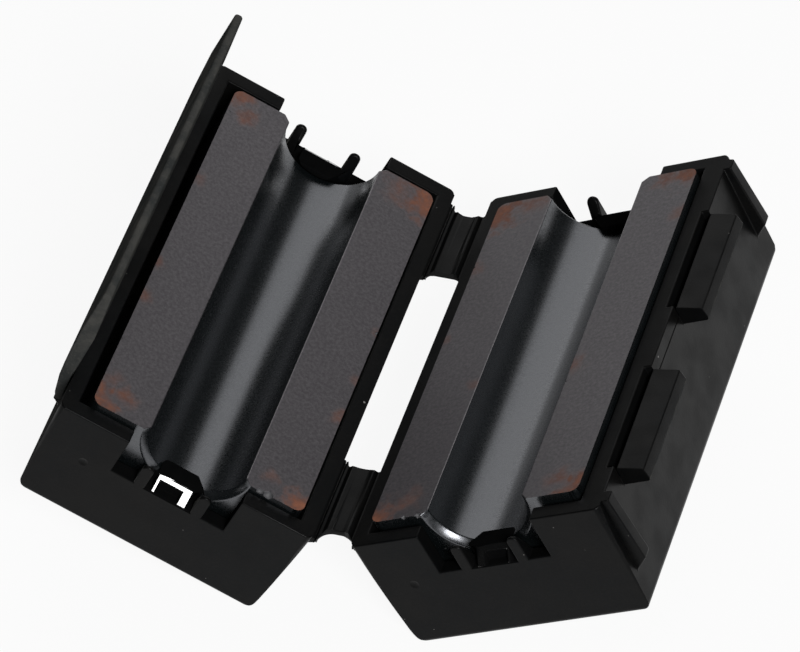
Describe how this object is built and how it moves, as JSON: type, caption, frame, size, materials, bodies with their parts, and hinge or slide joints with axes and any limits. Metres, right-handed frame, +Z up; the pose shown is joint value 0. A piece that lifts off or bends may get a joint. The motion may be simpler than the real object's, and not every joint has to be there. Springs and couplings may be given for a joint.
{
  "type": "clip-on ferrite bead",
  "caption": "Clip-on ferrite cable bead lying open: hinged plastic case with a split ferrite core, cable channel and latch plate over catches.",
  "frame": {"origin": "on the surface the open bead stands on, midway between the two halves and between their ends", "axes": "+X across, towards the half with the catches; +Y along the cable; +Z up"},
  "size_m": [0.039, 0.0314, 0.0217],
  "materials": {
    "case_plastic": "moulded black nylon with a faint satin sheen and dust",
    "ferrite": "ground matte grey ferrite with light rust stains and small edge chips"
  },
  "bodies": {
    "latch_half": {"latch_shell": "case_plastic", "latch_core": "ferrite"},
    "hinge_straps": {"hinge_strap_near": "case_plastic", "hinge_strap_far": "case_plastic"},
    "catch_half": {"catch_shell": "case_plastic", "catch_core": "ferrite"},
    "latch_flap": {"latch_plate": "case_plastic"}
  },
  "joints": [
    {"name": "strap_hinge", "type": "hinge", "parent": "latch_half", "child": "hinge_straps", "pos_m": [-0.0011, 0, 0.00632], "axis": [0, -1, 0], "range_deg": [-25.9, 64.1]},
    {"name": "catch_hinge", "type": "hinge", "parent": "hinge_straps", "child": "catch_half", "pos_m": [0.0011, 0, 0.00632], "axis": [0, -1, 0], "range_deg": [-25.9, 64.1]},
    {"name": "latch_flex", "type": "hinge", "parent": "latch_half", "child": "latch_flap", "pos_m": [-0.01758, 0, 0.0123], "axis": [0, -1, 0], "range_deg": [0, 18], "stiffness_Nm_per_rad": 0.2}
  ],
  "couplings": [
    {"joint": "catch_hinge", "follows": "strap_hinge", "ratio": 1}
  ]
}
